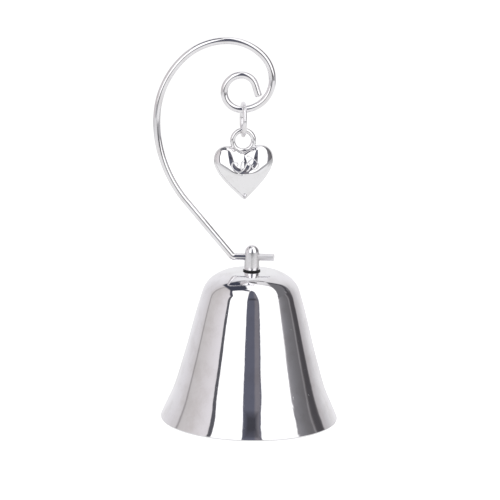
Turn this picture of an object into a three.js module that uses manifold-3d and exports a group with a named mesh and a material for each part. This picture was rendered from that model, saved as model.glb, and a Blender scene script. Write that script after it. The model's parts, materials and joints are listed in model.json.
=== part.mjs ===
// A small chrome table bell. It stands on its rim. A domed post is screwed to its crown by the eye
// screw that carries the clapper, a bent-wire hook turns in the post's cross hole, and a puffed
// heart charm hangs by a jump ring from the coil at the hook's end.
// Millimetres, +Z up, -Y towards the viewer. The rim's plane is z = 0, and the origin is under the
// middle of the whole object, so the bell's own axis stands a little to the right of it.
import * as THREE from 'three';
import { mergeVertices } from 'three/addons/utils/BufferGeometryUtils.js';
import Module from 'manifold-3d';

// ---- driving dimensions ----
const BELL_AXIS_X = 1.1;
const WALL = 0.95;
const CROWN_Z = 31.5;
const SEAT_GAP = 0.04; // between pieces that are screwed down on each other

const WASHER_R = 1.8;
const WASHER_T = 0.2;
const WASHER_HOLE_R = 0.9;
const INNER_WASHER_R = 2.6;
const INNER_WASHER_T = 0.4;

const POST_BASE_R = 1.6;
const POST_TOP_R = 1.5;
const POST_TOP_Z = 37.0;
const CROSS_HOLE_Z = 34.45;
const CROSS_HOLE_R = 0.81;
const THREAD_HOLE_R = 0.76;
const THREAD_HOLE_TOP_Z = 33.3;

const EYE_WIRE_R = 0.5;
const EYE_RING_R = 1.5;
const EYE_Z = 28.0;
const SHANK_R = 0.7;
const SHANK_TOP_Z = 33.2;

const STEM_R = 0.45;
const STEM_LOOP_R = 1.35;
const BALL_R = 3.6;
const BALL_DROP = 20.0; // from the clapper's pivot to the ball's centre
const BALL_HOLE_R = 0.51;
const BALL_HOLE_DEPTH = 3.0;

const HOOK_WIRE_R = 0.75;
const STUB_REACH = 4.65; // how far the hook's stub stands out to the right of the post's axis
const LINK_GAP = 0.05; // play between two linked loops

const JUMP_WIRE_R = 0.425;
const JUMP_RING_R = 3.275; // to the middle of its wire
const JUMP_YAW = THREE.MathUtils.degToRad(6); // of the ring and the charm about the vertical
const JUMP_SHIFT = 0.4; // how far the ring rests to the right of the coil's lowest point

const LOOP_HOLE_R = 1.6;
const LOOP_WIRE_R = 0.55;
const HEART_HALF_WIDTH = 6.15;
const HEART_HALF_DEPTH = 3.2;
const HEART_ROUNDING = 0.45; // of the tip and the cleft: 0 leaves both sharp
const HEART_DROP = 5.45; // from the loop's centre to the middle of the heart curve
const CHARM_LEAN = THREE.MathUtils.degToRad(2.2); // how far the charm's tip hangs to the right

const ROUND = 40; // facets round the bell
const PROFILE_FACETS = 15; // facets up the bell's profile
const SMALL_ROUND = 20; // facets round the small turned pieces
const RING_ROUND = 24; // facets round a wire ring
const WIRE_SIDES = 10;
const RING_SIDES = 8;
const FACET_TURN = 7; // degrees of bend for each facet of the hook

// The bell's outer profile, radius and height, from the rim up to the flat of the crown.
const BELL_KNOTS = [
  [18.6, 0], [17.75, 2], [16.0, 6], [14.75, 10], [13.1, 16], [11.05, 24], [10.3, 26.6],
  [9.9, 27.8], [9.25, 28.9], [8.4, 29.8], [7.2, 30.6], [5.6, 31.28], [3.9, 31.47], [2.7, CROWN_Z],
];

// The hook as a wire bender makes it, from the post's axis: [straight length] or
// [bend radius, turn in degrees], where a negative turn is clockwise seen from the front.
const HOOK_BENDS = [
  [3.55],
  [1.0, -49.6],
  [14.6],
  [26.4, -40.4],
  [17.95, -45],
  [12.95, -45],
  [9.95, -45],
  [7.15, -45],
  [6.2, -90],
  [3.6, -90],
  [3.55, -90],
  [2.9, -72],
  [2.5],
];
const COIL_BOTTOM_RUN = 9; // the coil's lowest point is where this run starts, counted from 0

// ---- materials ----
function metal(color, roughness) {
  return new THREE.MeshStandardMaterial({ color, roughness, metalness: 1 });
}
const chrome = () => metal(0xdcdde1, 0.06);
const dullPlate = () => metal(0xb9b9ba, 0.28);
const blackFibre = () => new THREE.MeshStandardMaterial({ color: 0x151517, roughness: 0.7, metalness: 0 });

// ---- solid helpers ----
const wasm = await Module();
wasm.setup();

function toManifold(geometry) {
  const bare = geometry.clone();
  bare.deleteAttribute('normal');
  bare.deleteAttribute('uv');
  const merged = mergeVertices(bare, 1e-5);
  const vertProperties = new Float32Array(merged.attributes.position.array);
  const triVerts = new Uint32Array(merged.index.array);
  return new wasm.Manifold(new wasm.Mesh({ numProp: 3, vertProperties, triVerts }));
}

function toGeometry(manifold) {
  const mesh = manifold.getMesh();
  const geometry = new THREE.BufferGeometry();
  geometry.setAttribute('position', new THREE.BufferAttribute(mesh.vertProperties, 3));
  geometry.setIndex(new THREE.BufferAttribute(mesh.triVerts, 1));
  geometry.computeVertexNormals();
  return geometry;
}

const join = (a, b) => toGeometry(toManifold(a).add(toManifold(b)));
const cut = (a, b) => toGeometry(toManifold(a).subtract(toManifold(b)));

function piece(name, geometry, material) {
  const mesh = new THREE.Mesh(geometry, material);
  mesh.name = name;
  return mesh;
}

function groupAt(x, y, z, ...children) {
  const group = new THREE.Group();
  group.position.set(x, y, z);
  group.add(...children);
  return group;
}

// Turns a profile of radius and height about Z. It runs up the outside and down the inside.
function turned(profile, sides) {
  const points = profile.map(([r, z]) => new THREE.Vector2(r, z));
  return new THREE.LatheGeometry(points, sides).rotateX(Math.PI / 2);
}

// A flat ring with a square section that lies on the height z.
function flatRing(innerR, outerR, z, thickness) {
  const top = z + thickness;
  return turned([[innerR, z], [outerR, z], [outerR, top], [innerR, top], [innerR, z]], SMALL_ROUND);
}

// A round wire ring round the Z axis.
function wireRing(ringR, wireR) {
  return new THREE.TorusGeometry(ringR, wireR, RING_SIDES, RING_ROUND);
}

// A round rod along Z from one height to another.
function rod(r, lowZ, highZ, sides) {
  const height = highZ - lowZ;
  return new THREE.CylinderGeometry(r, r, height, sides).rotateX(Math.PI / 2)
    .translate(0, 0, lowZ + height / 2);
}

// ---- the bell ----
// The same profile moved inwards by the wall's thickness, square to the surface.
function insideOf(profile) {
  return profile.map(([r, z], i) => {
    const [r0, z0] = profile[Math.max(i - 1, 0)];
    const [r1, z1] = profile[Math.min(i + 1, profile.length - 1)];
    const length = Math.hypot(r1 - r0, z1 - z0);
    const inR = r - WALL * (z1 - z0) / length;
    const inZ = z + WALL * (r1 - r0) / length;
    return [inR, Math.max(inZ, 0)];
  });
}

function bellShell() {
  const curve = new THREE.SplineCurve(BELL_KNOTS.map(([r, z]) => new THREE.Vector2(r, z)));
  const outside = curve.getPoints(PROFILE_FACETS).map((p) => [p.x, p.y]);
  const inside = insideOf(outside);
  inside[0] = [outside[0][0] - WALL, 0];
  inside[inside.length - 1][1] = CROWN_Z - WALL;
  const hole = [[WASHER_HOLE_R, CROWN_Z], [WASHER_HOLE_R, CROWN_Z - WALL]];
  const profile = [...outside, ...hole, ...inside.reverse(), outside[0]];
  return piece('bell_shell', turned(profile, ROUND), chrome());
}

function crownPost() {
  const baseZ = CROWN_Z + WASHER_T + 2 * SEAT_GAP;
  const domeZ = POST_TOP_Z - POST_TOP_R;
  const dome = [15, 30, 45, 60, 75].map((degrees) => {
    const angle = THREE.MathUtils.degToRad(degrees);
    return [POST_TOP_R * Math.cos(angle), domeZ + POST_TOP_R * Math.sin(angle)];
  });
  const profile = [
    [0, THREAD_HOLE_TOP_Z], [THREAD_HOLE_R, THREAD_HOLE_TOP_Z], [THREAD_HOLE_R, baseZ],
    [POST_BASE_R, baseZ], [POST_TOP_R, domeZ], ...dome, [0, POST_TOP_Z],
  ];
  const crossHole = rod(CROSS_HOLE_R, -5, 5, 16).rotateY(Math.PI / 2).translate(0, 0, CROSS_HOLE_Z);
  return piece('crown_post', cut(turned(profile, SMALL_ROUND), crossHole), chrome());
}

function clapperEye() {
  const ring = wireRing(EYE_RING_R, EYE_WIRE_R).rotateY(Math.PI / 2).translate(0, 0, EYE_Z);
  const shank = rod(SHANK_R, EYE_Z + EYE_RING_R, SHANK_TOP_Z, 12);
  return piece('clapper_eye', join(ring, shank), dullPlate());
}

function bell() {
  const crownWasher = flatRing(WASHER_HOLE_R, WASHER_R, CROWN_Z + SEAT_GAP, WASHER_T);
  const innerZ = CROWN_Z - WALL - SEAT_GAP - INNER_WASHER_T;
  const innerWasher = flatRing(WASHER_HOLE_R, INNER_WASHER_R, innerZ, INNER_WASHER_T);
  return groupAt(
    BELL_AXIS_X, 0, 0,
    bellShell(),
    piece('crown_washer', crownWasher, blackFibre()),
    crownPost(),
    piece('inner_washer', innerWasher, dullPlate()),
    clapperEye(),
    clapper(),
  );
}

// ---- the clapper, about its pivot in the bottom of the eye ----
function clapper() {
  const loopZ = LINK_GAP + EYE_WIRE_R - (STEM_LOOP_R - STEM_R);
  const stemTopZ = loopZ - STEM_LOOP_R;
  const stemEndZ = -BALL_DROP + BALL_R - BALL_HOLE_DEPTH + LINK_GAP;
  const loop = wireRing(STEM_LOOP_R, STEM_R).rotateX(Math.PI / 2).translate(0, 0, loopZ);
  const stem = join(loop, rod(STEM_R, stemEndZ, stemTopZ, RING_SIDES));
  return groupAt(
    0, 0, EYE_Z - EYE_RING_R,
    piece('clapper_stem', stem, dullPlate()),
    piece('clapper_ball', clapperBall(), chrome()),
  );
}

// The ball, with the blind hole that holds the stem.
function clapperBall() {
  const mouthAngle = Math.asin(BALL_HOLE_R / BALL_R);
  const steps = 14;
  const profile = [];
  for (let i = 0; i <= steps; i += 1) {
    const angle = Math.PI - (Math.PI - mouthAngle) * (i / steps);
    profile.push([i === 0 ? 0 : BALL_R * Math.sin(angle), -BALL_DROP + BALL_R * Math.cos(angle)]);
  }
  const holeEndZ = -BALL_DROP + BALL_R - BALL_HOLE_DEPTH;
  profile.push([BALL_HOLE_R, holeEndZ], [0, holeEndZ]);
  return turned(profile, SMALL_ROUND);
}

// ---- the hook ----
// The wire's middle line in its own XZ plane, walked through the table of bends. The parameter
// gives each facet an equal share, so that tight bends get as many facets as wide ones.
class BentWire extends THREE.Curve {
  constructor(start, headingDegrees, bends) {
    super();
    this.runs = [];
    this.facets = 0;
    let at = start.clone();
    let heading = THREE.MathUtils.degToRad(headingDegrees);
    for (const [size, turnDegrees] of bends) {
      const turn = THREE.MathUtils.degToRad(turnDegrees ?? 0);
      const facets = Math.max(1, Math.round(Math.abs(turnDegrees ?? 0) / FACET_TURN));
      const run = { at, heading, size, turn, facets, first: this.facets };
      this.runs.push(run);
      this.facets += facets;
      at = this.along(run, 1);
      heading += turn;
    }
  }

  along({ at, heading, size, turn }, share) {
    if (turn === 0) {
      const reach = size * share;
      return new THREE.Vector3(at.x + reach * Math.cos(heading), 0, at.z + reach * Math.sin(heading));
    }
    const side = Math.sign(turn);
    const now = heading + turn * share;
    return new THREE.Vector3(
      at.x + side * size * (Math.sin(now) - Math.sin(heading)), 0,
      at.z - side * size * (Math.cos(now) - Math.cos(heading)),
    );
  }

  locate(t) {
    const facet = Math.min(Math.max(t, 0), 1) * this.facets;
    const run = this.runs.findLast((r) => r.first <= facet);
    return [run, Math.min((facet - run.first) / run.facets, 1)];
  }

  getPoint(t) {
    return this.along(...this.locate(t));
  }

  getPointAt(t) {
    return this.getPoint(t);
  }

  getTangentAt(t) {
    const [run, share] = this.locate(t);
    const now = run.heading + run.turn * share;
    return new THREE.Vector3(Math.cos(now), 0, Math.sin(now));
  }
}

function wireAlong(path, wireR) {
  const section = new THREE.Shape().absarc(0, 0, wireR, 0, 2 * Math.PI);
  return new THREE.ExtrudeGeometry(section, {
    steps: path.facets, curveSegments: WIRE_SIDES / 2, extrudePath: path,
  });
}

function hook() {
  const start = new THREE.Vector3(STUB_REACH, 0, 0);
  const [[toBend], ...bends] = HOOK_BENDS;
  const path = new BentWire(start, 180, [[STUB_REACH + toBend], ...bends]);
  const { x, z } = path.runs[COIL_BOTTOM_RUN].at;
  return groupAt(
    BELL_AXIS_X, 0, CROSS_HOLE_Z,
    piece('hook_wire', wireAlong(path, HOOK_WIRE_R), chrome()),
    groupAt(x + JUMP_SHIFT, 0, z, ...ringAndCharm()),
  );
}

// ---- the jump ring and the charm, about the middle of the coil's lowest wire ----
function ringAndCharm() {
  const ringZ = HOOK_WIRE_R + LINK_GAP - (JUMP_RING_R - JUMP_WIRE_R);
  const ring = wireRing(JUMP_RING_R, JUMP_WIRE_R).rotateY(Math.PI / 2).rotateZ(JUMP_YAW);
  const pivotZ = ringZ - JUMP_RING_R;
  const loopDrop = LOOP_HOLE_R - JUMP_WIRE_R - LINK_GAP;
  const leaning = groupAt(0, 0, pivotZ, groupAt(0, 0, -loopDrop, piece('heart_charm', charm(), chrome())));
  leaning.rotation.set(0, -CHARM_LEAN, JUMP_YAW, 'ZYX');
  return [piece('jump_ring', ring.translate(0, 0, ringZ), chrome()), leaning];
}

// The heart's outline at the angle t: 0 is the cleft, 180 degrees the tip.
function heartOutline(t) {
  const pinch = (Math.sin(t) ** 2 + HEART_ROUNDING ** 2) / (1 + HEART_ROUNDING ** 2);
  const x = HEART_HALF_WIDTH * Math.sin(t) * pinch ** 0.75;
  const waves = 5.6 * Math.cos(t) - 1.72 * Math.cos(2 * t) - 0.52 * Math.cos(3 * t) - 0.13 * Math.cos(4 * t);
  return [x, waves - HEART_DROP];
}

// A ball pressed into the heart's outline, with its poles at the front and back.
function charm() {
  const ball = new THREE.SphereGeometry(1, 30, 12);
  const place = ball.attributes.position;
  for (let i = 0; i < place.count; i += 1) {
    const spread = Math.hypot(place.getX(i), place.getZ(i));
    const [x, z] = heartOutline(Math.atan2(place.getX(i), place.getZ(i)));
    place.setXYZ(
      i, spread * x, HEART_HALF_DEPTH * place.getY(i), -HEART_DROP + spread * (z + HEART_DROP),
    );
  }
  const loop = wireRing(LOOP_HOLE_R + LOOP_WIRE_R, LOOP_WIRE_R).rotateX(Math.PI / 2);
  return join(ball, loop);
}

const ornament = new THREE.Group();
ornament.add(bell(), hook());

export default ornament;
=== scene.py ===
"""The looks of a chrome table bell with a wire hook and a heart charm, about its CAD frame."""

import json
import math

import bpy
import numpy as np
from mathutils import Matrix, Vector


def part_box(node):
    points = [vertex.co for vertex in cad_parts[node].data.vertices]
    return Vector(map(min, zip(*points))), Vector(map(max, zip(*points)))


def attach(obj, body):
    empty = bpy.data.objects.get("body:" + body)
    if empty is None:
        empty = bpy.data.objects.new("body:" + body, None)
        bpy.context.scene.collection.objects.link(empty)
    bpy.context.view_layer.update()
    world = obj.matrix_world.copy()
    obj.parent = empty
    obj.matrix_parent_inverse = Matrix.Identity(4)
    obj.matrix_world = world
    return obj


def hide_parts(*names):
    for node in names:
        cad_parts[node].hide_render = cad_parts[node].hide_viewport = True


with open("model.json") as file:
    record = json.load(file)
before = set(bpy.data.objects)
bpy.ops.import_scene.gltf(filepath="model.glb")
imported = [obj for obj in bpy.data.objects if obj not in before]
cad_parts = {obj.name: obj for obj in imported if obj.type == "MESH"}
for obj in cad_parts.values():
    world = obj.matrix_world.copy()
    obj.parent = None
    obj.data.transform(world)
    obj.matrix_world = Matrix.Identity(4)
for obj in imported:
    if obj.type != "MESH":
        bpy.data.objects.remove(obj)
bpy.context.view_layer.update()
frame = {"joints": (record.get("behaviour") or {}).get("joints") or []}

# ---------------------------------------------------------------- sizes, in metres
MM = 0.001
TAU = 2 * math.pi
ACROSS = Vector((0, 1, 0))  # square to the plane of the hook

shell_lo, shell_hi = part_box("bell_shell")
AXIS_X = (shell_lo.x + shell_hi.x) / 2
CROWN_Z = shell_hi.z
RIM_R = (shell_hi.y - shell_lo.y) / 2
WALL = 0.95 * MM
PIVOTS = {joint["name"]: Vector(joint["pos_m"]) for joint in frame["joints"]}

# The bell's outer profile, radius and height in millimetres, from the rim to the flat of the crown.
BELL_KNOTS = [
    (18.6, 0), (17.75, 2), (16.0, 6), (14.75, 10), (13.1, 16), (11.05, 24), (10.3, 26.6),
    (9.9, 27.8), (9.25, 28.9), (8.4, 29.8), (7.2, 30.6), (5.6, 31.28), (3.9, 31.47), (2.7, 31.5),
]

# The hook as a wire bender makes it, from the post's axis: a straight length in millimetres, or a
# bend radius and a turn in degrees, where a negative turn is clockwise seen from the front.
HOOK_BENDS = [
    (3.55, 0), (1.0, -49.6), (14.6, 0), (26.4, -40.4), (17.95, -45), (12.95, -45), (9.95, -45),
    (7.15, -45), (6.2, -90), (3.6, -90), (3.55, -90), (2.9, -72), (2.5, 0),
]
HOOK_WIRE_R = 0.75 * MM
STUB_REACH = 4.65 * MM  # how far the hook's stub stands out to the right of the post's axis
JUMP_WIRE_R = 0.425 * MM
JUMP_RING_R = 3.275 * MM  # to the middle of the ring's wire
BORE_R = 0.9 * MM  # of the hole in the crown and in both washers


# ---------------------------------------------------------------- mesh helpers
def add_mesh(name, points, faces, uvs=None, material=None, smooth_angle=35):
    """A mesh object in the scene. uvs holds one (u, v) for each corner of each face, in metres."""
    mesh = bpy.data.meshes.new(name)
    mesh.from_pydata([tuple(p) for p in points], [], faces)
    if uvs is not None:
        layer = mesh.uv_layers.new(name="metres")
        layer.data.foreach_set("uv", np.array(uvs, np.float32).ravel())
    mesh.shade_smooth()
    mesh.set_sharp_from_angle(angle=math.radians(smooth_angle))
    mesh.validate()
    obj = bpy.data.objects.new(name, mesh)
    bpy.context.scene.collection.objects.link(obj)
    if material is not None:
        mesh.materials.append(material)
    return obj


def finish_piece(obj, body, slot, *nodes):
    """The piece rides on a body and stands for CAD nodes. slot is not used."""
    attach(obj, body)
    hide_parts(*nodes)
    return obj


def natural_spline(knots, count):
    """count points on a smooth curve through the knots, with no jump in its curvature."""
    knots = np.array(knots, float)
    step = np.linalg.norm(np.diff(knots, axis=0), axis=1)
    at = np.concatenate([[0], np.cumsum(step)])
    n = len(knots)
    system = np.zeros((n, n))
    right = np.zeros((n, 2))
    system[0, 0] = system[-1, -1] = 1
    for i in range(1, n - 1):
        system[i, i - 1:i + 2] = step[i - 1], 2 * (step[i - 1] + step[i]), step[i]
        ahead, behind = knots[i + 1] - knots[i], knots[i] - knots[i - 1]
        right[i] = 6 * (ahead / step[i] - behind / step[i - 1])
    bend = np.linalg.solve(system, right)
    s = np.linspace(0, at[-1], count)
    i = np.clip(np.searchsorted(at, s, side="right") - 1, 0, n - 2)
    h = step[i][:, None]
    a = (at[i + 1] - s)[:, None]
    b = (s - at[i])[:, None]
    return (
        bend[i] * a ** 3 / (6 * h) + bend[i + 1] * b ** 3 / (6 * h)
        + (knots[i] / h - bend[i] * h / 6) * a + (knots[i + 1] / h - bend[i + 1] * h / 6) * b
    )


def offset_inwards(profile, distance):
    """The profile moved towards the axis, square to itself. It runs upwards."""
    profile = np.array(profile, float)
    along = np.gradient(profile, axis=0)
    along /= np.linalg.norm(along, axis=1)[:, None]
    return profile + distance * np.stack([-along[:, 1], along[:, 0]], axis=1)


def round_corners(outline, closed=True, steps=6):
    """outline holds (r, z, rounding). Each corner with a rounding becomes an arc of that radius."""
    rounded = []
    count = len(outline)
    for i, (r, z, rounding) in enumerate(outline):
        here = Vector((r, z))
        if rounding <= 0 or (not closed and i in (0, count - 1)):
            rounded.append((r, z))
            continue
        back = (Vector(outline[i - 1][:2]) - here).normalized()
        on = (Vector(outline[(i + 1) % count][:2]) - here).normalized()
        half = back.angle(on) / 2
        reach = rounding / math.tan(half)
        centre = here + (back + on).normalized() * rounding / math.sin(half)
        first = here + back * reach - centre
        last = here + on * reach - centre
        for k in range(steps + 1):
            spoke = first.lerp(last, k / steps).normalized() * rounding
            rounded.append(tuple(centre + spoke))
    return rounded


def turned(name, profile, centre, segments, material, closed=True):
    """A profile of (r, z) turned about the vertical through centre, with one point on the axis."""
    profile = [(max(r, 0.0), z) for r, z in profile]
    points, rings = [], []
    for r, z in profile:
        if r < 1e-9:
            rings.append([len(points)] * segments)
            points.append((centre[0], centre[1], z))
            continue
        rings.append(list(range(len(points), len(points) + segments)))
        for k in range(segments):
            angle = TAU * k / segments
            points.append((centre[0] + r * math.cos(angle), centre[1] + r * math.sin(angle), z))
    span = [0.0]
    for (r0, z0), (r1, z1) in zip(profile, profile[1:] + profile[:1]):
        span.append(span[-1] + math.hypot(r1 - r0, z1 - z0))
    girth = TAU * max(r for r, _ in profile)
    faces, uvs = [], []
    count = len(profile)
    for i in range(count if closed else count - 1):
        low, high = rings[i], rings[(i + 1) % count]
        for k in range(segments):
            k1 = (k + 1) % segments
            u0, u1 = girth * k / segments, girth * (k + 1) / segments
            corners = [
                (low[k], (u0, span[i])), (low[k1], (u1, span[i])),
                (high[k1], (u1, span[i + 1])), (high[k], (u0, span[i + 1])),
            ]
            kept = [c for j, c in enumerate(corners) if c[0] != corners[j - 1][0]]
            if len(kept) > 2:
                faces.append([c[0] for c in kept])
                uvs.extend(c[1] for c in kept)
    return add_mesh(name, points, faces, uvs, material)


class BentWire:
    """The middle line of a wire bent in a plane along X and Z, walked through a table of bends."""

    def __init__(self, start, heading, bends):
        self.runs = []
        self.length = 0.0
        at = Vector(start)
        heading = math.radians(heading)
        for size, turn in bends:
            turn = math.radians(turn)
            length = size if turn == 0 else size * abs(turn)
            run = (self.length, length, at.copy(), heading, size, turn)
            self.runs.append(run)
            self.length += length
            at = self.point_in(run, length)
            heading += turn

    @staticmethod
    def point_in(run, s):
        _, length, at, heading, size, turn = run
        if turn == 0:
            return at + s * Vector((math.cos(heading), 0, math.sin(heading)))
        side = math.copysign(1, turn)
        now = heading + turn * s / length
        return at + side * size * Vector(
            (math.sin(now) - math.sin(heading), 0, math.cos(heading) - math.cos(now))
        )

    def at(self, s):
        s = min(max(s, 0.0), self.length)
        run = [r for r in self.runs if r[0] <= s + 1e-12][-1]
        return self.point_in(run, min(s - run[0], run[1]))


def tube(name, centres, across, radii, sides, material, closed=False):
    """A round wire along centres, which lie in one plane. across is square to that plane."""
    centres = [Vector(c) for c in centres]
    count = len(centres)
    across = Vector(across).normalized()
    points = []
    travel = [0.0]
    for i, centre in enumerate(centres):
        before = centres[i - 1] if closed or i > 0 else centre
        after = centres[(i + 1) % count] if closed or i < count - 1 else centre
        ahead = (after - before).normalized()
        out = across.cross(ahead).normalized()
        for k in range(sides):
            angle = TAU * k / sides
            points.append(centre + radii[i] * (math.cos(angle) * out + math.sin(angle) * across))
        travel.append(travel[-1] + (centres[(i + 1) % count] - centre).length)
    girth = TAU * max(radii)
    faces, uvs = [], []
    for i in range(count if closed else count - 1):
        j = (i + 1) % count
        for k in range(sides):
            k1 = (k + 1) % sides
            faces.append([i * sides + k, i * sides + k1, j * sides + k1, j * sides + k])
            v0, v1 = girth * k / sides, girth * (k + 1) / sides
            uvs += [(travel[i], v0), (travel[i], v1), (travel[i + 1], v1), (travel[i + 1], v0)]
    if not closed:
        for i, centre, flip in ((0, centres[0], False), (count - 1, centres[-1], True)):
            points.append(centre)
            for k in range(sides):
                a, b = i * sides + k, i * sides + (k + 1) % sides
                faces.append([a, len(points) - 1, b] if not flip else [b, len(points) - 1, a])
                uvs += [(travel[i], 0)] * 3
    return add_mesh(name, points, faces, uvs, material, smooth_angle=50)


def wire_stations(length, radius, rounding, step):
    """Distances along a wire and its radius at each, with both cut ends rounded over."""
    turns = [math.radians(a) for a in (0, 20, 40, 60, 75, 90)]
    ease = [rounding * (1 - math.cos(a)) for a in turns]
    shrunk = [radius - rounding * (1 - math.sin(a)) for a in turns]
    inner = max(2, round((length - 2 * rounding) / step))
    middle = [rounding + (length - 2 * rounding) * k / inner for k in range(1, inner)]
    stations = ease + middle + [length - e for e in reversed(ease)]
    return stations, shrunk + [radius] * len(middle) + shrunk[::-1]


def ring_path(centre, radius, across, start, sweep, count):
    """Points round a circle that is square to across. Angles are in degrees from straight up."""
    across = Vector(across).normalized()
    up = Vector((0, 0, 1))
    up = (up - up.dot(across) * across).normalized()
    side = across.cross(up)
    angles = [math.radians(start + sweep * k / count) for k in range(count + 1)]
    return [Vector(centre) + radius * (math.cos(a) * up + math.sin(a) * side) for a in angles]


def combine(obj, other, operation):
    """Joins or cuts obj with another closed mesh, which is then thrown away."""
    modifier = obj.modifiers.new("combine", "BOOLEAN")
    modifier.operation = operation
    modifier.solver = "MANIFOLD"
    modifier.object = other
    bpy.context.view_layer.update()
    evaluated = obj.evaluated_get(bpy.context.evaluated_depsgraph_get())
    mesh = bpy.data.meshes.new_from_object(evaluated)
    obj.modifiers.clear()
    obj.data = mesh
    mesh.shade_smooth()
    mesh.set_sharp_from_angle(angle=math.radians(40))
    bpy.data.objects.remove(other)


# ---------------------------------------------------------------- material helpers
class Nodes:
    """A short way to add and link the nodes of one material or world."""

    def __init__(self, owner):
        owner.use_nodes = True
        self.tree = owner.node_tree
        self.tree.nodes.clear()

    def add(self, kind, inputs=(), **settings):
        node = self.tree.nodes.new(kind)
        for key, value in settings.items():
            setattr(node, key, value)
        for socket, value in dict(inputs).items():
            if isinstance(value, bpy.types.NodeSocket):
                self.tree.links.new(value, node.inputs[socket])
            else:
                node.inputs[socket].default_value = value
        return node

    def math(self, operation, *values):
        return self.add("ShaderNodeMath", enumerate(values), operation=operation).outputs[0]

    def ramp(self, factor, stops):
        node = self.add("ShaderNodeValToRGB", {"Fac": factor})
        elements = node.color_ramp.elements
        while len(elements) < len(stops):
            elements.new(1)
        for element, (position, color) in zip(elements, stops):
            element.position = position
            element.color = (*color, 1)
        return node.outputs["Color"]

    def mix(self, factor, a, b):
        # the colour sockets share their names with the node's other kinds, so they go by number
        node = self.add("ShaderNodeMix", data_type="RGBA")
        for socket, value in ((0, factor), (6, a), (7, b)):
            if isinstance(value, bpy.types.NodeSocket):
                self.tree.links.new(value, node.inputs[socket])
            else:
                node.inputs[socket].default_value = value
        return node.outputs[2]

    def noise(self, vector, scale, detail, roughness=0.5):
        values = {"Vector": vector, "Scale": scale, "Detail": detail, "Roughness": roughness}
        return self.add("ShaderNodeTexNoise", values).outputs["Fac"]

    def stretched(self, vector, x, y):
        return self.add("ShaderNodeMapping", {"Vector": vector, "Scale": (x, y, 1.0)}).outputs[0]

    def spread(self, value, low, high, to_low, to_high):
        inputs = {
            "Value": value, "From Min": low, "From Max": high, "To Min": to_low, "To Max": to_high,
        }
        return self.add("ShaderNodeMapRange", inputs).outputs["Result"]

    def bump(self, height, distance, normal=None):
        inputs = {"Height": height, "Distance": distance, "Strength": 1.0}
        if normal is not None:
            inputs["Normal"] = normal
        return self.add("ShaderNodeBump", inputs).outputs["Normal"]


# How fine the marks on the plate are, in cycles per metre, and what they do.
WAVES, RIPPLES, SMEARS, SPECKS = 110, 700, 260, 2600
SCRATCH_DEPTH = 0.25e-6
SCRATCH_DULLNESS = 0.05
SPECK_DULLNESS = 0.3
WORN_DULLNESS = 0.35
STAIN = (0.86, 0.845, 0.83)  # the share of the plate's colour that the deepest smear leaves


def chrome(name, tint, roughness, haze, waviness, dents, grain, grain_depth, worn=0.0):
    """Bright plate. haze is how much rougher its smears are, waviness and dents are how deep its
    slow waves and its millimetre-wide ripples are, grain is how many polishing lines run per metre
    along and across the uv map, and worn is how far it is dull from where the uv map starts."""
    material = bpy.data.materials.new(name)
    nodes = Nodes(material)
    place = nodes.add("ShaderNodeTexCoord")
    lines = nodes.stretched(place.outputs["UV"], *grain)
    waves = nodes.noise(place.outputs["Object"], WAVES, 1.0)
    ripples = nodes.noise(place.outputs["Object"], RIPPLES, 1.0)
    streaks = nodes.noise(lines, 1.0, 3.0, 0.65)
    smears = nodes.noise(place.outputs["Object"], SMEARS, 4.0, 0.6)
    scratch = nodes.spread(nodes.noise(lines, 2.7, 1.0), 0.68, 0.74, 0.0, 1.0)

    normal = nodes.bump(waves, waviness)
    normal = nodes.bump(ripples, dents, normal)
    normal = nodes.bump(streaks, grain_depth, normal)
    normal = nodes.bump(scratch, -SCRATCH_DEPTH, normal)

    soft = nodes.spread(smears, 0.4, 0.75, roughness, roughness + haze)
    soft = nodes.math("ADD", soft, nodes.math("MULTIPLY", scratch, SCRATCH_DULLNESS))
    specks = nodes.noise(place.outputs["Object"], SPECKS, 0.0)
    soft = nodes.math("ADD", soft, nodes.spread(specks, 0.83, 0.87, 0.0, SPECK_DULLNESS))
    if worn:
        along = nodes.add("ShaderNodeSeparateXYZ", {"Vector": place.outputs["UV"]}).outputs["X"]
        soft = nodes.math("ADD", soft, nodes.spread(along, worn, 1.2 * worn, WORN_DULLNESS, 0.0))
    stain = tuple(share * c for share, c in zip(STAIN, tint))
    colour = nodes.mix(nodes.spread(smears, 0.45, 0.8, 0.0, 1.0), (*tint, 1), (*stain, 1))
    inputs = {"Base Color": colour, "Metallic": 1.0, "Roughness": soft, "Normal": normal}
    shader = nodes.add("ShaderNodeBsdfPrincipled", inputs)
    nodes.add("ShaderNodeOutputMaterial", {"Surface": shader.outputs[0]})
    return material


def black_fibre():
    # Near-black, with a fine random mottle in colour, roughness and bumps; it darkens the line
    # round the post's foot.
    material = bpy.data.materials.new("near_black_washer_look")
    nodes = Nodes(material)
    place = nodes.add("ShaderNodeTexCoord").outputs["Object"]
    mottle = nodes.noise(place, 9000, 3.0, 0.7)
    colour = nodes.mix(mottle, (0.008, 0.008, 0.009, 1), (0.03, 0.03, 0.032, 1))
    rough = nodes.spread(mottle, 0.3, 0.7, 0.6, 0.85)
    normal = nodes.bump(mottle, 6e-6)
    inputs = {"Base Color": colour, "Roughness": rough, "Normal": normal}
    shader = nodes.add("ShaderNodeBsdfPrincipled", inputs)
    nodes.add("ShaderNodeOutputMaterial", {"Surface": shader.outputs[0]})
    return material


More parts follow.
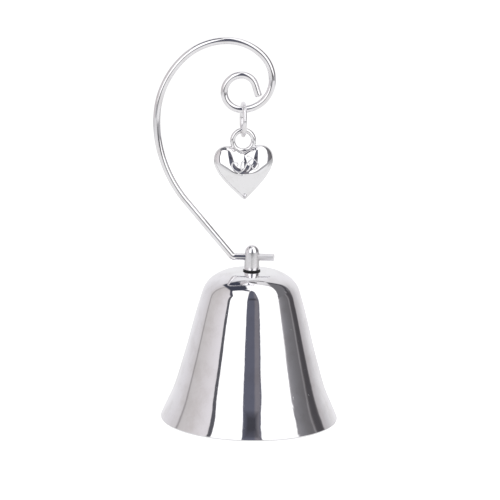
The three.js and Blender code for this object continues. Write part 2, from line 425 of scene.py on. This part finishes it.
BELL_CHROME = chrome(
    "bell_chrome", (0.88, 0.875, 0.895), roughness=0.025, haze=0.05,
    waviness=35e-6, dents=5e-6, grain=(900, 9000), grain_depth=0.06e-6,
)
POST_CHROME = chrome(
    "post_chrome", (0.9, 0.89, 0.91), roughness=0.12, haze=0.14,
    waviness=14e-6, dents=4e-6, grain=(900, 5000), grain_depth=0.8e-6,
)
WIRE_CHROME = chrome(
    "wire_chrome", (0.87, 0.86, 0.88), roughness=0.04, haze=0.08,
    waviness=6e-6, dents=1e-6, grain=(250, 9000), grain_depth=0.5e-6, worn=3.5 * MM,
)
RING_CHROME = chrome(
    "ring_chrome", (0.89, 0.88, 0.9), roughness=0.12, haze=0.1,
    waviness=6e-6, dents=1e-6, grain=(250, 9000), grain_depth=0.5e-6,
)
CHARM_CHROME = chrome(
    "charm_chrome", (0.88, 0.875, 0.89), roughness=0.035, haze=0.06,
    waviness=6e-6, dents=2e-6, grain=(2500, 2500), grain_depth=0.1e-6,
)
BALL_CHROME = chrome(
    "ball_chrome", (0.8, 0.8, 0.81), roughness=0.08, haze=0.1,
    waviness=6e-6, dents=0.5e-6, grain=(1500, 5000), grain_depth=0.3e-6,
)
DULL_PLATE = chrome(
    "dull_plate", (0.62, 0.61, 0.6), roughness=0.24, haze=0.16,
    waviness=10e-6, dents=1e-6, grain=(1200, 7000), grain_depth=1.2e-6,
)
NEAR_BLACK = black_fibre()


# ---------------------------------------------------------------- the bell
def bell_shell():
    knots = [(r * MM, z * MM) for r, z in BELL_KNOTS]
    outside = natural_spline(knots, count=110)
    inside = offset_inwards(outside, WALL)
    rim_edge, bore_edge = 0.28 * MM, 0.1 * MM
    above_rim = 0.9 * MM  # the profile starts here, to leave room for the rim's rounded edges
    flat_r = 2.4 * MM  # and inside the crown it ends here, where the wall is flat
    outside = [(r, z, 0) for r, z in outside if z > above_rim]
    inside = [(r, z, 0) for r, z in inside if z > above_rim and r > flat_r]
    profile = [
        *outside, (BORE_R, CROWN_Z, bore_edge), (BORE_R, CROWN_Z - WALL, bore_edge),
        *reversed(inside), (RIM_R - WALL, 0, rim_edge), (RIM_R, 0, rim_edge),
    ]
    profile = round_corners(profile)
    obj = turned("bell_body", profile, (AXIS_X, 0), segments=256, material=BELL_CHROME)
    obj.data.materials.append(DULL_PLATE)
    for face in obj.data.polygons:
        middle = face.center
        spoke = math.hypot(middle.x - AXIS_X, middle.y)
        faces_in = face.normal.x * (middle.x - AXIS_X) + face.normal.y * middle.y < 0
        under_crown = face.normal.z < -0.5 and middle.z > 0.5 * CROWN_Z
        if under_crown or (faces_in and middle.z > 0.5 * MM and spoke > 2 * BORE_R):
            face.material_index = 1
    return finish_piece(obj, "bell", "polished_chrome", "bell_shell")


def washer(name, node, slot, material, edge):
    lo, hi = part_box(node)
    outer = (hi.y - lo.y) / 2
    outline = [
        (BORE_R, lo.z, edge), (outer, lo.z, edge), (outer, hi.z, edge), (BORE_R, hi.z, edge),
    ]
    outline = round_corners(outline, steps=4)
    obj = turned(name, outline, (AXIS_X, 0), segments=96, material=material)
    return finish_piece(obj, "bell", slot, node)


def crown_post():
    lo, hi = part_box("crown_post")
    base_r, top_r = 1.6 * MM, 1.5 * MM
    thread_r, thread_top = 0.76 * MM, lo.z + 1.12 * MM
    dome_z = hi.z - top_r
    dome = [
        (top_r * math.cos(math.radians(a)), dome_z + top_r * math.sin(math.radians(a)), 0)
        for a in range(0, 90, 6)
    ]
    outline = [
        (0, thread_top, 0), (thread_r, thread_top, 0), (thread_r, lo.z, 0.08 * MM),
        (base_r, lo.z, 0.12 * MM), *dome, (0, hi.z, 0),
    ]
    outline = round_corners(outline, closed=False)
    obj = turned("post", outline, (AXIS_X, 0), segments=128, material=POST_CHROME, closed=False)
    pivot = PIVOTS["hook_tilt"]
    drill_r = 0.81 * MM
    reach = 3 * MM  # well past the post on both sides
    mouth = 0.1 * MM  # depth of the countersink at each end of the cross hole
    drill_line = [pivot + Vector((x, 0, 0)) for x in (-reach, 0, reach)]
    drill = tube("drill", drill_line, ACROSS, [drill_r] * 3, 64, POST_CHROME)
    combine(obj, drill, "DIFFERENCE")
    for side in (-1, 1):
        face_x = side * (base_r - 0.05 * MM)
        line = [pivot + Vector((face_x + side * d, 0, 0)) for d in (-2 * mouth, 0, 4 * mouth)]
        if side < 0:
            line.reverse()
            radii = [drill_r + 4 * mouth, drill_r + mouth / 2, drill_r - mouth]
        else:
            radii = [drill_r - mouth, drill_r + mouth / 2, drill_r + 4 * mouth]
        combine(obj, tube("countersink", line, ACROSS, radii, 64, POST_CHROME), "DIFFERENCE")
    return finish_piece(obj, "bell", "polished_chrome", "crown_post")


def clapper_eye():
    lo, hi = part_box("clapper_eye")
    wire_r, ring_r = 0.5 * MM, 1.5 * MM
    centre = Vector((AXIS_X, 0, lo.z + wire_r + ring_r))
    path = ring_path(centre, ring_r, (1, 0, 0), 0, 360, 96)[:-1]
    ring = tube("eye_screw", path, (1, 0, 0), [wire_r] * 96, 32, DULL_PLATE, closed=True)
    shank_r, root_r, pitch = 0.7 * MM, 0.6 * MM, 0.35 * MM
    low = centre.z + ring_r
    z, thread_top = low + 0.9 * MM, hi.z - 0.1 * MM
    profile = [(0, low), (root_r, low), (root_r, z)]
    while z + pitch < thread_top:
        profile += [(shank_r, z + 0.4 * pitch), (shank_r, z + 0.6 * pitch), (root_r, z + pitch)]
        z += pitch
    profile += [(root_r, thread_top), (root_r - 0.15 * MM, hi.z), (0, hi.z)]
    shank = turned("shank", profile, (AXIS_X, 0), segments=48, material=DULL_PLATE, closed=False)
    combine(ring, shank, "UNION")
    return finish_piece(ring, "bell", "dull_plate", "clapper_eye")


# ---------------------------------------------------------------- the clapper
def clapper_stem():
    lo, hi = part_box("clapper_stem")
    wire_r, loop_r = 0.45 * MM, 1.35 * MM
    centre = Vector((AXIS_X, 0, hi.z - wire_r - loop_r))
    foot = [Vector((AXIS_X, 0, lo.z)), Vector((AXIS_X, 0, centre.z - loop_r))]
    path = ring_path(centre, loop_r, ACROSS, 0, 360, 96)[:-1]
    obj = tube("clapper_rod", path, ACROSS, [wire_r] * 96, 32, DULL_PLATE, closed=True)
    rod = tube("rod", foot, ACROSS, [wire_r] * 2, 32, DULL_PLATE)
    combine(obj, rod, "UNION")
    return finish_piece(obj, "clapper", "dull_plate", "clapper_stem")


def clapper_ball():
    lo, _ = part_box("clapper_ball")
    ball_r = 3.6 * MM
    centre_z = lo.z + ball_r
    hole_r, hole_depth = 0.51 * MM, 3.0 * MM
    mouth = math.asin(hole_r / ball_r)
    arc = [
        (ball_r * math.sin(a), centre_z + ball_r * math.cos(a))
        for a in np.linspace(math.pi, mouth, 60)
    ]
    floor_z = centre_z + ball_r - hole_depth
    profile = [(0, arc[0][1]), *arc[1:], (hole_r, floor_z), (0, floor_z)]
    obj = turned(
        "clapper_bob", profile, (AXIS_X, 0), segments=96, material=BALL_CHROME, closed=False)
    return finish_piece(obj, "clapper", "ball_chrome", "clapper_ball")


# ---------------------------------------------------------------- the hook and its ring
def hook_wire():
    start = PIVOTS["hook_tilt"] + Vector((STUB_REACH, 0, 0))
    (to_bend, _), *bends = HOOK_BENDS
    table = [(STUB_REACH + to_bend * MM, 0)] + [(size * MM, turn) for size, turn in bends]
    line = BentWire(start, 180, table)
    stations, radii = wire_stations(line.length, HOOK_WIRE_R, rounding=0.3 * MM, step=0.22 * MM)
    centres = [line.at(s) for s in stations]
    obj = tube("hook", centres, ACROSS, radii, 40, WIRE_CHROME)
    return finish_piece(obj, "hook", "wire_chrome", "hook_wire")


def jump_ring():
    centre = (PIVOTS["ring_swing"] + PIVOTS["charm_swing"]) / 2
    lo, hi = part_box("jump_ring")
    centre.z = (lo.z + hi.z) / 2
    across = Vector(next(j["axis"] for j in frame["joints"] if j["name"] == "ring_swing"))
    gap, seam = 1.6, 38  # the ring's butt joint and where it sits, in degrees from the top
    length = JUMP_RING_R * math.radians(360 - gap)
    stations, radii = wire_stations(length, JUMP_WIRE_R, rounding=0.09 * MM, step=0.12 * MM)
    turns = [math.degrees(s / JUMP_RING_R) + seam + gap / 2 for s in stations]
    centres = [ring_path(centre, JUMP_RING_R, across, a, 0, 1)[0] for a in turns]
    obj = tube("ring", centres, across, radii, 32, RING_CHROME)
    return finish_piece(obj, "ring", "wire_chrome", "jump_ring")


# ---------------------------------------------------------------- the charm
HEART_HALF_WIDTH = 6.15 * MM
HEART_HALF_DEPTH = 3.2 * MM
HEART_ROUNDING = 0.45  # of the tip and the cleft: 0 leaves both sharp
HEART_PINCH = 0.75  # how hard its sides are drawn in towards the tip and the cleft
HEART_WAVES = (5.6 * MM, -1.72 * MM, -0.52 * MM, -0.13 * MM)  # of height, 1 to 4 per turn
HEART_DROP = 5.45 * MM  # from the loop's centre to the middle of the heart's curve
INNER_HALF_WIDTH = 0.86 * HEART_HALF_WIDTH  # of the ellipse that the inner curves tend to
INNER_HALF_HEIGHT = 5.0 * MM
INNER_FADE = 1.3  # how closely the curves keep to the ellipse: more keeps it nearer to the edge
HEART_BELLY = 6.4 * MM  # from the loop's centre down to the heart's thickest point
VALLEY_DEPTH = 0.25  # of the hollow between the lobes, as a share of the heart's thickness there
VALLEY_WIDTH = 1.9 * MM
VALLEY_FADE = 2.5 * MM  # how far above the belly the valley reaches its full depth
CHARM_LEAN = math.radians(2.2)  # how far the charm's tip hangs to the right
CHARM_YAW = math.radians(6)  # how far the charm's front is turned to the right
LOOP_WIRE_R = 0.55 * MM
LOOP_HOLE_R = 1.6 * MM


def heart_outline(t):
    """The heart's edge about the loop's centre. The angle t is 0 at the cleft and pi at the tip."""
    pinch = (np.sin(t) ** 2 + HEART_ROUNDING ** 2) / (1 + HEART_ROUNDING ** 2)
    x = HEART_HALF_WIDTH * np.sin(t) * pinch ** HEART_PINCH
    waves = sum(wave * np.cos(n * t) for n, wave in enumerate(HEART_WAVES, 1))
    return x, waves - HEART_DROP


def heart_point(s, t):
    """A point in the outline: s is 0 at the belly, 1 at the edge. Inner curves are rounder."""
    edge_x, edge_z = heart_outline(t)
    share = s ** INNER_FADE
    x = share * edge_x + (1 - share) * INNER_HALF_WIDTH * np.sin(t)
    up = share * (edge_z + HEART_BELLY) + (1 - share) * INNER_HALF_HEIGHT * np.cos(t)
    return s * x, s * up - HEART_BELLY


def heart_depth(s, x, z):
    """How far the skin is from the middle plane, with a shallow valley between the lobes."""
    above = min(max((z + HEART_BELLY) / VALLEY_FADE, 0.0), 1.0)
    hollow = VALLEY_DEPTH * above * above * (3 - 2 * above)
    valley = hollow * math.exp(-(x / VALLEY_WIDTH) ** 2)
    return HEART_HALF_DEPTH * math.sqrt(max(0.0, 1 - s * s)) * (1 - valley)


# The raised scroll on the heart's front, about the heart's belly in millimetres: two opposed curls
# on a rising stem with small leaves. Each stroke is a smooth line through its points.
SCROLL = [
    [(-2.3, -0.5), (-1.6, -1.0), (-0.7, -0.75), (0.1, 0.1), (0.8, 1.0), (1.6, 1.45), (2.3, 1.0)],
    [(-2.3, -0.5), (-2.75, 0.1), (-2.5, 0.85), (-1.85, 0.95), (-1.5, 0.45), (-1.85, 0.1)],
    [(2.3, 1.0), (2.7, 0.3), (2.35, -0.4), (1.7, -0.45), (1.4, 0.05), (1.75, 0.4)],
    [(-0.7, -0.75), (-0.95, 0.1), (-0.55, 0.8), (0.0, 1.15)],
    [(0.8, 1.0), (1.05, 0.25), (0.75, -0.5), (0.2, -0.95)],
    [(-1.6, -1.0), (-1.1, -1.55), (-0.35, -1.6)],
    [(1.6, 1.45), (1.15, 1.95), (0.4, 1.95)],
]
SCROLL_PLACE = (0.1 * MM, 1.4 * MM)  # its middle, right of and above the belly
STROKE_R = 0.17 * MM
STROKE_SINK = 0.03 * MM  # how far a stroke's middle lies behind the skin
STROKE_TIP, STROKE_SWELL = 0.35, 5  # the tip's share of the full radius, and its gain per length


def heart_front(x, z):
    """How far forward the heart's skin is at (x, z), which are about the loop's centre."""
    up = z + HEART_BELLY
    s, t = 0.3, math.atan2(x, up)
    for _ in range(30):  # s and t step towards the point, a little less than all the way
        near_x, near_z = heart_point(s, t)
        near_up = near_z + HEART_BELLY
        s = min(0.98, s * (math.hypot(x, up) / math.hypot(near_x, near_up)) ** 0.8)
        t += 0.8 * math.remainder(math.atan2(x, up) - math.atan2(near_x, near_up), TAU)
    return -heart_depth(s, x, z)


def scroll_stroke(points):
    """One raised stroke: a round bead, about half sunk in the heart's skin, with tapered ends."""
    line = natural_spline(points, 10 * len(points))
    centres = []
    for x, z in line:
        x, z = SCROLL_PLACE[0] + x * MM, SCROLL_PLACE[1] - HEART_BELLY + z * MM
        centres.append(Vector((x, heart_front(x, z) + STROKE_SINK, z)))
    count = len(centres)
    full = [STROKE_TIP + STROKE_SWELL * min(i, count - 1 - i) / count for i in range(count)]
    radii = [STROKE_R * min(1.0, share) for share in full]
    return tube("stroke", centres, ACROSS, radii, 12, CHARM_CHROME)


def heart_charm():
    around, rings = 160, 48
    points = [(0, -HEART_HALF_DEPTH, -HEART_BELLY)]
    for i in range(1, 2 * rings):
        slope = math.pi * i / (2 * rings)
        s, side = math.sin(slope), math.copysign(1, i - rings)
        for k in range(around):
            x, z = heart_point(s, TAU * k / around)
            points.append((x, side * heart_depth(s, x, z), z))
    points.append((0, HEART_HALF_DEPTH, -HEART_BELLY))
    last = len(points) - 1
    faces = []
    for k in range(around):
        k1 = (k + 1) % around
        faces.append([0, 1 + k1, 1 + k])
        faces.append([last, last - around + k, last - around + k1])
        for i in range(2 * rings - 2):
            a, b = 1 + i * around, 1 + (i + 1) * around
            faces.append([a + k, a + k1, b + k1, b + k])
    uvs = [(points[v][0], points[v][2]) for face in faces for v in face]
    obj = add_mesh("heart", points, faces, uvs, CHARM_CHROME, smooth_angle=60)
    loop_r = LOOP_HOLE_R + LOOP_WIRE_R
    path = ring_path((0, 0, 0), loop_r, ACROSS, 0, 360, 128)[:-1]
    loop = tube("loop", path, ACROSS, [LOOP_WIRE_R] * 128, 40, CHARM_CHROME, closed=True)
    combine(obj, loop, "UNION")
    for points in SCROLL:
        combine(obj, scroll_stroke(points), "UNION")
    loop_drop = LOOP_HOLE_R - JUMP_WIRE_R - 0.05 * MM
    hang = Matrix.Translation(PIVOTS["charm_swing"]) @ Matrix.Rotation(CHARM_YAW, 4, "Z")
    lean = Matrix.Rotation(-CHARM_LEAN, 4, "Y")
    obj.data.transform(hang @ lean @ Matrix.Translation((0, 0, -loop_drop)))
    return finish_piece(obj, "charm", "charm_chrome", "heart_charm")


# ---------------------------------------------------------------- floor, studio and camera
# The studio is a pale tent. Directions in it are (azimuth, elevation) in degrees: azimuth 0 is the
# camera's side and positive is to the right, and elevation is above the horizon. Brightness is
# linear red, green and blue.
TENT = [
    (-180, (0.92, 0.92, 0.93)), (-158, (0.90, 0.89, 0.91)), (-143, (0.83, 0.82, 0.84)),
    (-125, (0.76, 0.74, 0.76)), (-110, (0.67, 0.645, 0.65)),
    (-108.4, (0.38, 0.36, 0.365)), (-106.6, (0.38, 0.36, 0.365)), (-105, (0.60, 0.575, 0.57)),
    (-87, (0.67, 0.64, 0.64)), (-62, (0.82, 0.79, 0.81)), (0, (0.82, 0.81, 0.81)),
    (108, (0.42, 0.40, 0.41)), (120, (0.54, 0.52, 0.53)), (130, (0.65, 0.64, 0.65)),
    (137, (0.76, 0.75, 0.76)), (145, (0.83, 0.82, 0.83)), (160, (0.89, 0.88, 0.90)),
    (180, (0.92, 0.92, 0.93)),
]
# The grey wall on the right, which has a pale line and a dark edge.
GREY_WALL = [
    (60, (0.50, 0.50, 0.51)), (69, (0.37, 0.36, 0.38)), (73, (0.275, 0.27, 0.285)),
    (79, (0.22, 0.217, 0.23)), (86, (0.187, 0.183, 0.192)), (95.5, (0.165, 0.16, 0.168)),
    (97, (0.26, 0.25, 0.26)), (98.5, (0.26, 0.25, 0.26)), (101, (0.10, 0.095, 0.10)),
    (104, (0.082, 0.078, 0.085)), (111, (0.078, 0.074, 0.08)), (114, (0.12, 0.115, 0.12)),
    (120, (0.16, 0.155, 0.16)),
]
UPPER_WALL = (0.18, 0.178, 0.188)
# Cards and openings in the tent, each laid over the ones before: the corners in order, the colour
# or its stops, and how soft the edge is. Each is convex, and its sides are straight in the room.
CARDS = [
    # the window in front and overhead
    ([(-51.7, -20), (-51, 55), (72, 45), (72, -20)], (1.4, 1.4, 1.4), 0.6),
    ([(-50, 37), (-75, 56), (-140, 74), (150, 74), (110, 60), (73, 28)], (1.4, 1.4, 1.4), 0.6),
    # its frame on the left
    ([(-57.3, -20), (-57.3, 37), (-51, 38), (-52.2, -20)], (0.11, 0.11, 0.125), 0.5),
    ([(-60, 36), (-80, 53), (-75, 56), (-50, 37)], (0.09, 0.09, 0.115), 0.7),
    # the dark corner overhead on the left
    (
        [(-74, 52), (-124, 46), (-152, 60), (-150, 76), (-30, 78), (-50, 66)],
        (0.06, 0.065, 0.09), 1.5,
    ),
    ([(-60, 65), (-50, 75), (-8, 73), (-8, 67)], (0.08, 0.085, 0.12), 1.5),
    # the grey wall, low and high
    ([(80, 40), (108, 60), (150, 60), (131.5, 40)], UPPER_WALL, 1.2),
    ([(72, 28), (84, 44), (134.5, 44), (123, 28)], UPPER_WALL, 1.2),
    ([(69.5, 20), (74, 32), (125.5, 32), (118.5, 20)], UPPER_WALL, 1.2),
    ([(101, 18), (105, 34), (107.5, 34), (103, 18)], (0.26, 0.25, 0.26), 0.5),
    ([(105, 18), (110, 34), (117, 34), (113, 18)], (0.08, 0.077, 0.083), 1.0),
    ([(111, 32), (127, 45), (134, 45), (120, 32)], (0.08, 0.08, 0.09), 0.8),
    ([(126, 43), (141, 59), (150, 60), (133, 43)], (0.09, 0.09, 0.10), 0.8),
    ([(68, 10), (71.5, 24), (121, 24), (113, 10)], GREY_WALL, 1.4),
    ([(68.3, -3), (68.5, 16), (116, 16), (114.5, -3)], GREY_WALL, 1.4),
    # the seam overhead at the back
    ([(-152, 59.5), (152, 59.5), (152, 62.5), (-152, 62.5)], (0.13, 0.13, 0.14), 0.6),
    # the dark gap in front, with a paler strip on its right
    ([(-10.3, -20), (-8, 66), (2, 73), (13, 66), (21.5, -20)], (0.125, 0.13, 0.17), 0.6),
    ([(8.5, -20), (8.5, 60), (12, 60), (20, -20)], (0.22, 0.21, 0.235), 1.5),
    ([(-5, 29), (-5, 36), (12, 36), (13, 29)], (0.06, 0.06, 0.075), 3.0),
]
# The dark strip under the window, and the table from its far edge to close by.
SKIRTING = [
    (-60, 0.80), (-56, 0.50), (-22, 0.45), (-12, 0.10), (28, 0.10), (42, 0.40), (108, 0.50),
    (118, 0.60),
]
TABLE_EDGE = [
    (-180, 0.88), (-156, 0.82), (-150, 0.55), (-112, 0.58), (-90, 0.70), (-50, 0.78), (-8, 0.82),
    (-2, 0.55), (2, 0.55), (8, 0.86), (60, 0.95), (80, 0.90), (90, 0.60), (150, 0.50), (156, 0.82),
    (180, 0.88),
]
TABLE_NEAR = 0.90
# Where each turns into the next, as sines of the elevation, and the azimuths in radians between
# which the dark strip runs.
SKIRTING_TOP = (-0.045, -0.03)
TABLE_TOP = (-0.17, -0.15)
TABLE_TURNS_NEAR = (-0.34, -0.23)
SKIRTING_LEFT = (-1.05, -1.0)
SKIRTING_RIGHT = (1.9, 2.0)


def towards_corner(corner):
    azimuth, elevation = (math.radians(a) for a in corner)
    level = math.cos(elevation)
    return Vector((math.sin(azimuth) * level, -math.cos(azimuth) * level, math.sin(elevation)))


def round_the_room(stops):
    """Stops by azimuth in degrees as stops for a ramp that goes once round the room."""
    return [((azimuth + 180) / 360, color) for azimuth, color in stops]


def card_mask(nodes, direction, corners, softness):
    """1 inside a convex card as seen from the middle of the room, and 0 outside it."""
    corners = [towards_corner(c) for c in corners]
    middle = sum(corners, Vector()).normalized()
    mask = None
    for i, corner in enumerate(corners):
        side = corners[i - 1].cross(corner).normalized()
        if side.dot(middle) < 0:
            side.negate()
        inputs = {0: direction, 1: tuple(side)}
        reach = nodes.add("ShaderNodeVectorMath", inputs, operation="DOT_PRODUCT").outputs["Value"]
        soft = math.sin(math.radians(softness))
        edge = nodes.spread(reach, -soft, soft, 0.0, 1.0)
        mask = edge if mask is None else nodes.math("MINIMUM", mask, edge)
    return mask


def studio():
    world = bpy.data.worlds.new("studio")
    bpy.context.scene.world = world
    nodes = Nodes(world)
    direction = nodes.add("ShaderNodeTexCoord").outputs["Generated"]
    axes = nodes.add("ShaderNodeSeparateXYZ", {"Vector": direction}).outputs
    azimuth = nodes.math("ARCTAN2", axes["X"], nodes.math("MULTIPLY", axes["Y"], -1))
    share = nodes.math("MULTIPLY_ADD", azimuth, 1 / TAU, 0.5)
    colour = nodes.ramp(share, round_the_room(TENT))
    for corners, fill, softness in CARDS:
        mask = card_mask(nodes, direction, corners, softness)
        over = nodes.ramp(share, round_the_room(fill)) if isinstance(fill, list) else (*fill, 1)
        colour = nodes.mix(mask, colour, over)
    level = axes["Z"]
    skirting = nodes.ramp(share, round_the_room([(a, (v, v, 1.03 * v)) for a, v in SKIRTING]))
    in_front = nodes.math(
        "MULTIPLY", nodes.spread(azimuth, *SKIRTING_LEFT, 0.0, 1.0),
        nodes.spread(azimuth, *SKIRTING_RIGHT, 1.0, 0.0),
    )
    below = nodes.spread(level, *SKIRTING_TOP, 1.0, 0.0)
    colour = nodes.mix(nodes.math("MULTIPLY", in_front, below), colour, skirting)
    edge = nodes.ramp(share, round_the_room([(a, (v, v, 1.01 * v)) for a, v in TABLE_EDGE]))
    near = (TABLE_NEAR, TABLE_NEAR, TABLE_NEAR, 1)
    table = nodes.mix(nodes.spread(level, *TABLE_TURNS_NEAR, 1.0, 0.0), edge, near)
    colour = nodes.mix(nodes.spread(level, *TABLE_TOP, 1.0, 0.0), colour, table)
    room = nodes.add("ShaderNodeBackground", {"Color": colour, "Strength": 1.0})
    white = nodes.add("ShaderNodeBackground", {"Color": (1, 1, 1, 1), "Strength": 1.1})
    seen = nodes.add("ShaderNodeLightPath").outputs["Is Camera Ray"]
    blend = nodes.add("ShaderNodeMixShader", {0: seen, 1: room.outputs[0], 2: white.outputs[0]})
    nodes.add("ShaderNodeOutputWorld", {"Surface": blend.outputs[0]})


def floor():
    radius = 300 * MM
    rim = [(radius * math.cos(TAU * k / 96), radius * math.sin(TAU * k / 96), 0) for k in range(96)]
    obj = add_mesh("floor", rim, [list(range(96))])
    obj.location.z = -0.01 * MM
    material = bpy.data.materials.new("pale_floor")
    nodes = Nodes(material)
    inputs = {
        "Base Color": (0.55, 0.55, 0.55, 1), "Roughness": 0.9, "Specular IOR Level": 0.0,
        "Emission Color": (1, 1, 1, 1), "Emission Strength": 0.78,
    }
    shader = nodes.add("ShaderNodeBsdfPrincipled", inputs)
    nodes.add("ShaderNodeOutputMaterial", {"Surface": shader.outputs[0]})
    obj.data.materials.append(material)
    obj.visible_glossy = False  # the room's own table is what the chrome reflects


LENS = 208.944  # millimetres, on a sensor 36 mm wide
CAMERA_STAND = Vector((AXIS_X - 0.43 * MM, -587 * MM, 165.7 * MM))
CAMERA_AIM_Z = 35.9 * MM
CAMERA_ROLL = math.radians(1.1)


def camera():
    data = bpy.data.cameras.new("camera")
    data.sensor_width = 36
    data.lens = LENS
    obj = bpy.data.objects.new("camera", data)
    bpy.context.scene.collection.objects.link(obj)
    sight = Vector((CAMERA_STAND.x, 0, CAMERA_AIM_Z)) - CAMERA_STAND
    turn = sight.to_track_quat("-Z", "Y").to_matrix() @ Matrix.Rotation(CAMERA_ROLL, 3, "Z")
    obj.location = CAMERA_STAND
    obj.rotation_mode = "QUATERNION"
    obj.rotation_quaternion = turn.to_quaternion()
    data.clip_start, data.clip_end = 0.01, 10
    bpy.context.scene.camera = obj


# ---------------------------------------------------------------- the whole scene
bell_shell()
# the near-black washer makes the dark line round the post's foot
washer("base_washer", "crown_washer", "black_fibre", NEAR_BLACK, 0.1 * MM)
washer("under_washer", "inner_washer", "dull_plate", DULL_PLATE, 0.08 * MM)
crown_post()
clapper_eye()
clapper_stem()
clapper_ball()
hook_wire()
jump_ring()
heart_charm()
studio()
floor()
camera()
bpy.context.scene.view_settings.view_transform = "Standard"
